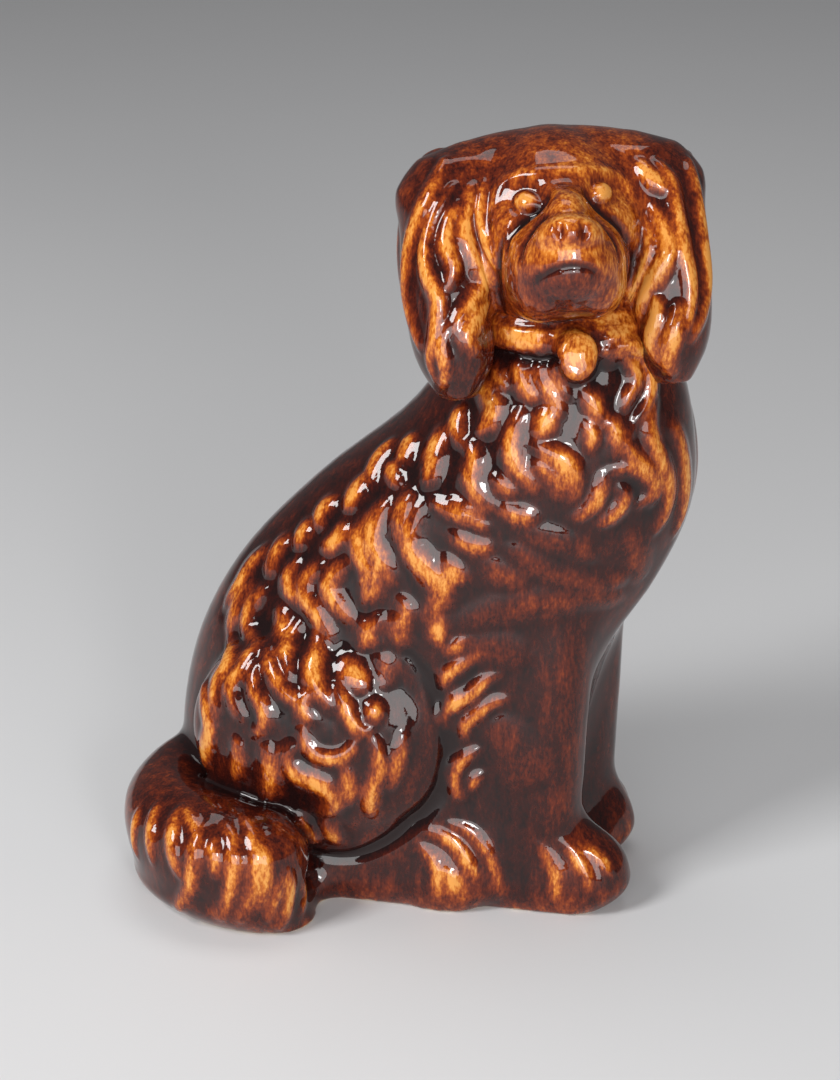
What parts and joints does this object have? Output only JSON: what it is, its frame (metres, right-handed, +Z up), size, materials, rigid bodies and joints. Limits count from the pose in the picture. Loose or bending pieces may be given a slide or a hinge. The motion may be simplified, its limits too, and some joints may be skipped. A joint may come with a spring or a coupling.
{
  "type": "seated dog figure",
  "caption": "Hollow glazed earthenware figure of a seated spaniel with its head turned, on a flat foot, to stand on a shelf as an ornament.",
  "frame": {"origin": "on the surface that the figure stands on, under the middle of the body", "axes": "+X the way the body looks, -Y the way the head looks, +Z up"},
  "size_m": [0.1868, 0.1215, 0.2534],
  "materials": {
    "treacle_glaze": "gloss",
    "bare_clay": "matte"
  },
  "bodies": {
    "root": {"base_slab": "treacle_glaze", "right_body_shell": "treacle_glaze", "left_body_shell": "treacle_glaze", "head_face": "treacle_glaze", "head_back": "treacle_glaze", "right_ear": "treacle_glaze", "left_ear": "treacle_glaze", "collar": "treacle_glaze", "locket": "treacle_glaze", "right_foreleg": "treacle_glaze", "left_foreleg": "treacle_glaze", "right_haunch": "treacle_glaze", "left_haunch": "treacle_glaze", "right_hind_paw": "treacle_glaze", "left_hind_paw": "treacle_glaze", "tail": "treacle_glaze", "seam_roll": "bare_clay"}
  },
  "joints": []
}
